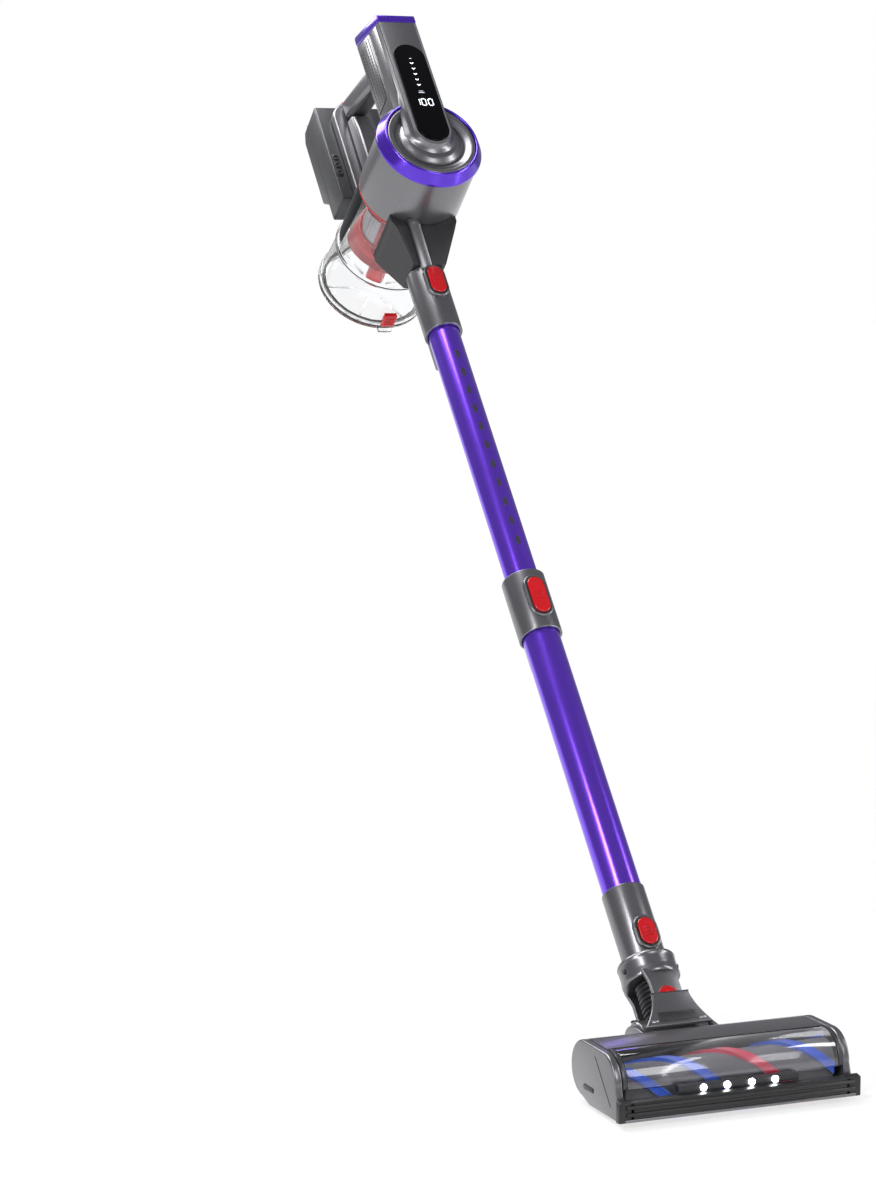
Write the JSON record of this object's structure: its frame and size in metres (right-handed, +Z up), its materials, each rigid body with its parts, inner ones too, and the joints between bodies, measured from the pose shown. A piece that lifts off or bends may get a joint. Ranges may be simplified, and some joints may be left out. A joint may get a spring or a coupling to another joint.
{
  "type": "cordless stick vacuum",
  "caption": "Cordless stick vacuum: hand unit with dust cup and battery on a telescopic wand with a powered floor head.",
  "frame": {"origin": "middle of the hand grip", "axes": "+Z up, head's long side along X, the head's front and the display face -Y, wand leaning back towards +Y"},
  "size_m": [0.256, 1.094, 1.0836],
  "materials": {
    "gunmetal_plastic": "satin dark metallic moulding",
    "dark_plastic": "fine matt texture",
    "purple_metallic": "metallic lacquer",
    "tube_purple": "anodised, polished",
    "red_gloss": "gloss",
    "cyclone_red": "translucent gloss",
    "clear_bin": "clear polycarbonate, gloss",
    "smoke_window": "smoked clear, gloss",
    "black_glass": "piano gloss",
    "steel": "brushed",
    "motor_metal": "cast and turned",
    "mesh_metal": "perforated foil",
    "black_rubber": "matt rubber",
    "plush_grey": "dense plush",
    "bristle_blue": "soft bristle",
    "bristle_red": "soft bristle",
    "filter_white": "pleated paper",
    "circuit_green": "coated laminate",
    "cell_blue": "sleeved cells",
    "led_white": "lit clear lens"
  },
  "bodies": {
    "hand_unit": {"motor_housing": "gunmetal_plastic", "trim_ring": "purple_metallic", "front_cap": "gunmetal_plastic", "suction_motor": "motor_metal", "filter_rim": "dark_plastic", "filter_pleats": "filter_white", "cyclone_shroud": "cyclone_red", "mesh_screen": "mesh_metal", "dust_cup": "clear_bin", "door_seal": "black_rubber", "door_hinge_pin": "steel", "inlet_funnel": "dark_plastic", "inlet_collar": "gunmetal_plastic", "tower_housing": "gunmetal_plastic", "tower_cap": "purple_metallic", "display_glass": "black_glass", "main_board": "circuit_green", "vent_grille_left": "dark_plastic", "vent_grille_right": "dark_plastic", "handle_grip": "gunmetal_plastic", "handle_post": "gunmetal_plastic", "handle_strut": "gunmetal_plastic", "battery_dock": "dark_plastic", "upper_tube": "tube_purple"},
    "fan": {"impeller": "dark_plastic"},
    "bin_door": {"dust_door": "clear_bin"},
    "bin_latch": {"dust_latch": "red_gloss"},
    "wand_release": {"inlet_button": "red_gloss"},
    "power_trigger": {"trigger": "red_gloss"},
    "battery_release": {"battery_button": "red_gloss"},
    "battery": {"battery_case": "gunmetal_plastic", "battery_cells": "cell_blue", "battery_gauge": "dark_plastic"},
    "lower_wand": {"mid_collar": "gunmetal_plastic", "lower_tube": "tube_purple", "bottom_collar": "gunmetal_plastic", "neck_socket": "gunmetal_plastic", "swivel_hub": "red_gloss"},
    "length_release": {"mid_button": "red_gloss"},
    "head_release": {"bottom_button": "red_gloss"},
    "yoke": {"swivel_yoke": "gunmetal_plastic", "pitch_axle": "steel", "neck_hose": "black_rubber"},
    "head": {"head_housing": "gunmetal_plastic", "head_window": "smoke_window", "end_cap_left": "gunmetal_plastic", "end_cap_right": "gunmetal_plastic", "sole_plate": "dark_plastic", "front_bumper": "black_rubber", "led_bar": "led_white", "neck_cradle": "gunmetal_plastic", "brush_motor": "motor_metal"},
    "roller": {"roller_core": "dark_plastic", "roller_sleeve": "plush_grey", "roller_strip_red": "bristle_red", "roller_strip_blue_a": "bristle_blue", "roller_strip_blue_b": "bristle_blue"},
    "drive_pulley": {"motor_pulley": "dark_plastic"},
    "wheel_left": {"rear_wheel_left": "black_rubber"},
    "wheel_right": {"rear_wheel_right": "black_rubber"}
  },
  "joints": [
    {"name": "wand_slide", "type": "slide", "parent": "hand_unit", "child": "lower_wand", "axis": [0, 0.6561, 0.7547], "range_m": [0, 0.28]},
    {"name": "inlet_button_press", "type": "slide", "parent": "hand_unit", "child": "wand_release", "axis": [0, 0.7547, -0.6561], "range_m": [0, 0.0024], "stiffness_N_per_m": 700},
    {"name": "mid_button_press", "type": "slide", "parent": "lower_wand", "child": "length_release", "axis": [0, 0.7547, -0.6561], "range_m": [0, 0.0024], "stiffness_N_per_m": 700},
    {"name": "bottom_button_press", "type": "slide", "parent": "lower_wand", "child": "head_release", "axis": [0, 0.7547, -0.6561], "range_m": [0, 0.0024], "stiffness_N_per_m": 700},
    {"name": "neck_swivel", "type": "hinge", "parent": "lower_wand", "child": "yoke", "pos_m": [0, -0.80918, -0.93695], "axis": [0, 0.7547, -0.6561], "range_deg": [-35, 35], "deforming": ["neck_hose"]},
    {"name": "neck_pitch", "type": "hinge", "parent": "yoke", "child": "head", "pos_m": [0, -0.83149, -0.96261], "axis": [1, 0, 0], "range_deg": [-38, 38]},
    {"name": "roller_spin", "type": "hinge", "parent": "head", "child": "roller", "pos_m": [0, -0.93949, -0.97062], "axis": [1, 0, 0], "continuous": true},
    {"name": "brush_motor_spin", "type": "hinge", "parent": "head", "child": "drive_pulley", "pos_m": [0, -0.89009, -0.96312], "axis": [1, 0, 0], "continuous": true},
    {"name": "wheel_left_spin", "type": "hinge", "parent": "head", "child": "wheel_left", "pos_m": [-0.052, -0.84349, -0.97762], "axis": [1, 0, 0], "continuous": true},
    {"name": "wheel_right_spin", "type": "hinge", "parent": "head", "child": "wheel_right", "pos_m": [0.052, -0.84349, -0.97762], "axis": [1, 0, 0], "continuous": true},
    {"name": "fan_spin", "type": "hinge", "parent": "hand_unit", "child": "fan", "pos_m": [0, -0.11638, -0.13998], "axis": [0, 0.7547, -0.6561], "continuous": true},
    {"name": "trigger_pull", "type": "slide", "parent": "hand_unit", "child": "power_trigger", "axis": [0, 0.6561, 0.7547], "range_m": [0, 0.004], "stiffness_N_per_m": 500},
    {"name": "battery_slide", "type": "slide", "parent": "hand_unit", "child": "battery", "axis": [0, 0.6561, 0.7547], "range_m": [0, 0.07]},
    {"name": "battery_button_press", "type": "slide", "parent": "hand_unit", "child": "battery_release", "axis": [0, -0.6561, -0.7547], "range_m": [0, 0.0022], "stiffness_N_per_m": 700},
    {"name": "bin_door_swing", "type": "hinge", "parent": "hand_unit", "child": "bin_door", "pos_m": [0, 0.03788, -0.1808], "axis": [1, 0, 0], "range_deg": [0, 95]},
    {"name": "bin_latch_slide", "type": "slide", "parent": "hand_unit", "child": "bin_latch", "axis": [0, -0.7547, 0.6561], "range_m": [0, 0.005], "stiffness_N_per_m": 500}
  ],
  "couplings": [
    {"joint": "brush_motor_spin", "follows": "roller_spin", "ratio": 2.4}
  ]
}
